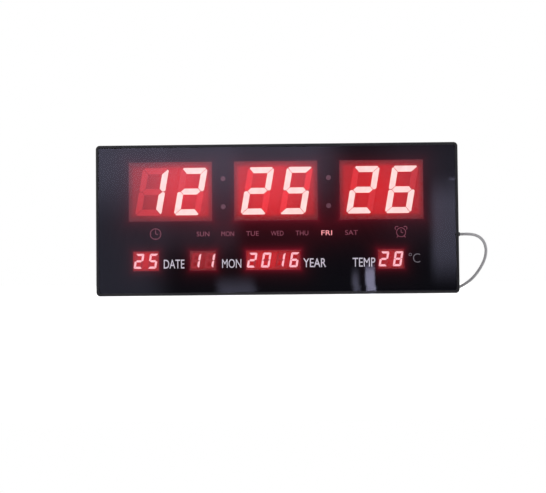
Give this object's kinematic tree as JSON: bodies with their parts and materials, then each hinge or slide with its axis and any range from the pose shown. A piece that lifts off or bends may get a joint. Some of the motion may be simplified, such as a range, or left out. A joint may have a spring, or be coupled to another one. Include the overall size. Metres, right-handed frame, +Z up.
{
  "type": "led calendar wall clock",
  "caption": "Slim black LED wall clock with large red hour, minute and second digits, a weekday row and small date, month, year and temperature displays, on a corded adapter.",
  "frame": {"origin": "middle of the underside", "axes": "+X to the right as the face is read, face towards -Y, rear cover towards +Y, +Z up"},
  "size_m": [0.395, 0.08, 0.15],
  "materials": {
    "frame": "semi-gloss black moulded ABS",
    "smoked_panel": "polished smoked acrylic",
    "film": "black printed polyester",
    "display_body": "red-tinted display body",
    "black_body": "black moulded plastic",
    "light_box": "white reflector plastic",
    "lit_lens": "lit red epoxy lens",
    "dark_lens": "unlit red epoxy lens",
    "dim_lens": "dim red lens",
    "led_chip": "LED chip in clear resin",
    "tinned": "tinned metal",
    "board": "green solder-masked fibreglass",
    "steel": "plain steel",
    "chip": "black epoxy package",
    "capacitor": "sleeved aluminium can",
    "white_nylon": "white nylon connector",
    "red_lead": "insulated lead",
    "button": "satin black cap",
    "cover": "fine-textured black ABS",
    "black_screw": "black oxide steel",
    "rubber": "soft black rubber",
    "cord": "grey PVC cord",
    "tie": "black tie",
    "adapter": "fine-textured black polycarbonate",
    "plug_pin": "nickel-plated brass"
  },
  "bodies": {
    "root": {"front_frame": "frame", "front_panel": "smoked_panel", "legend_film": "film", "hours_module": "display_body", "minutes_module": "display_body", "seconds_module": "display_body", "date_module": "display_body", "month_module": "display_body", "year_module": "display_body", "temperature_module": "display_body", "colon_modules": "black_body", "weekday_light_box": "light_box", "icon_light_boxes": "light_box", "time_segments_lit": "lit_lens", "time_segments_unlit": "dark_lens", "calendar_segments_lit": "lit_lens", "calendar_segments_unlit": "dark_lens", "colon_lenses": "dim_lens", "weekday_lens_lit": "lit_lens", "weekday_lenses_unlit": "dim_lens", "icon_lenses": "dim_lens", "led_chips": "led_chip", "module_pins": "tinned", "main_board": "board", "board_screws": "steel", "microcontroller": "chip", "timekeeper_chip": "chip", "driver_chips": "chip", "crystal": "tinned", "capacitors": "capacitor", "resistors": "chip", "voltage_regulator": "chip", "buzzer": "black_body", "cell_holder": "black_body", "coin_cell": "steel", "temperature_sensor": "chip", "power_header": "white_nylon", "inner_leads": "red_lead", "switch_bodies": "black_body", "back_cover": "cover", "cover_screws": "black_screw", "wall_pads": "rubber", "cord_grommet": "rubber", "cord_lead": "cord", "cord_coil": "cord", "cord_tie": "tie", "cord_tail": "cord", "adapter_relief": "rubber", "adapter_case": "adapter", "adapter_pins": "plug_pin"},
    "set_key": {"set_button": "button", "set_plunger": "black_body"},
    "plus_key": {"plus_button": "button", "plus_plunger": "black_body"},
    "minus_key": {"minus_button": "button", "minus_plunger": "black_body"},
    "alarm_key": {"alarm_button": "button", "alarm_plunger": "black_body"},
    "cell_door": {"cell_door": "cover"}
  },
  "joints": [
    {"name": "set_press", "type": "slide", "parent": "root", "child": "set_key", "axis": [0, -1, 0], "range_m": [0, 0.0003], "stiffness_N_per_m": 1200, "springref_m": -0.0005},
    {"name": "plus_press", "type": "slide", "parent": "root", "child": "plus_key", "axis": [0, -1, 0], "range_m": [0, 0.0003], "stiffness_N_per_m": 1200, "springref_m": -0.0005},
    {"name": "minus_press", "type": "slide", "parent": "root", "child": "minus_key", "axis": [0, -1, 0], "range_m": [0, 0.0003], "stiffness_N_per_m": 1200, "springref_m": -0.0005},
    {"name": "alarm_press", "type": "slide", "parent": "root", "child": "alarm_key", "axis": [0, -1, 0], "range_m": [0, 0.0003], "stiffness_N_per_m": 1200, "springref_m": -0.0005},
    {"name": "cell_door_turn", "type": "hinge", "parent": "root", "child": "cell_door", "pos_m": [-0.062, 0.013, 0.06], "axis": [0, 1, 0], "range_deg": [0, 60]}
  ]
}
